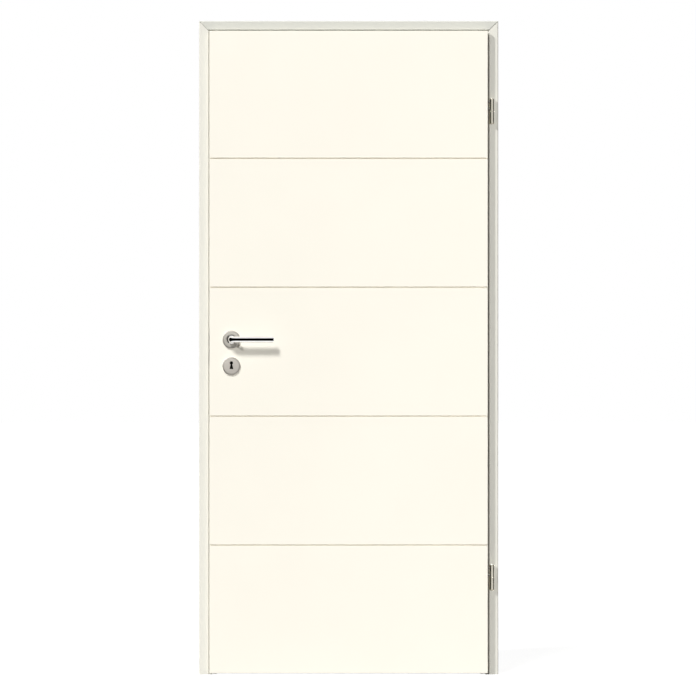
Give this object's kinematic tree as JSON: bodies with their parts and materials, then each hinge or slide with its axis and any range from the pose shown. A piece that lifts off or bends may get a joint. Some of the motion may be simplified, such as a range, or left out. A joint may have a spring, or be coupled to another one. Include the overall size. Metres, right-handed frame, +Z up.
{
  "type": "interior door",
  "caption": "Flush rebated interior door leaf with cross grooves in a mitred timber lining, on barrel hinges, with a lever handle and key rose.",
  "frame": {"origin": "middle of the hinge-side lining's foot, on the finished floor and half way through the wall", "axes": "+X across the doorway towards the hinge side, +Y through the wall away from the side the leaf opens to, +Z up"},
  "size_m": [0.926, 0.2685, 2.022],
  "materials": {
    "frame_paint": "satin pale grey-white paint on timber board",
    "leaf_paint": "satin cream-white lacquer on board",
    "seal_rubber": "matt pale grey soft strip",
    "hinge_nickel": "polished nickel-plated",
    "satin_nickel": "satin stainless",
    "chrome": "polished",
    "steel": "plain bright zinc-plated"
  },
  "bodies": {
    "frame": {"lining_lock_side": "frame_paint", "lining_hinge_side": "frame_paint", "lining_head": "frame_paint", "front_architrave_lock_side": "frame_paint", "front_architrave_hinge_side": "frame_paint", "front_architrave_head": "frame_paint", "back_architrave_lock_side": "frame_paint", "back_architrave_hinge_side": "frame_paint", "back_architrave_head": "frame_paint", "seal_lock_side": "seal_rubber", "seal_hinge_side": "seal_rubber", "seal_head": "seal_rubber", "strike_plate": "steel", "upper_hinge_frame_knuckle": "hinge_nickel", "upper_hinge_pin": "hinge_nickel", "lower_hinge_frame_knuckle": "hinge_nickel", "lower_hinge_pin": "hinge_nickel"},
    "leaf": {"leaf_core": "leaf_paint", "leaf_front_board": "leaf_paint", "leaf_back_board": "leaf_paint", "upper_hinge_leaf_knuckle": "hinge_nickel", "lower_hinge_leaf_knuckle": "hinge_nickel", "lock_case": "steel", "lock_forend": "steel", "latch_bolt": "steel", "dead_bolt": "steel", "front_lever_rose": "satin_nickel", "front_neck_collar": "chrome", "front_key_rose": "satin_nickel", "back_lever_rose": "satin_nickel", "back_neck_collar": "chrome", "back_key_rose": "satin_nickel"},
    "handle": {"front_lever": "chrome", "back_lever": "chrome", "spindle": "steel", "lock_follower": "steel"}
  },
  "joints": [
    {"name": "leaf_swing", "type": "hinge", "parent": "frame", "child": "leaf", "pos_m": [0.0235, -0.113, 1], "axis": [0, 0, 1], "range_deg": [0, 175]},
    {"name": "lever_turn", "type": "hinge", "parent": "leaf", "child": "handle", "pos_m": [-0.781, -0.093, 1.036], "axis": [0, 1, 0], "range_deg": [0, 40], "stiffness_Nm_per_rad": 1.5, "springref_deg": -34.38}
  ]
}
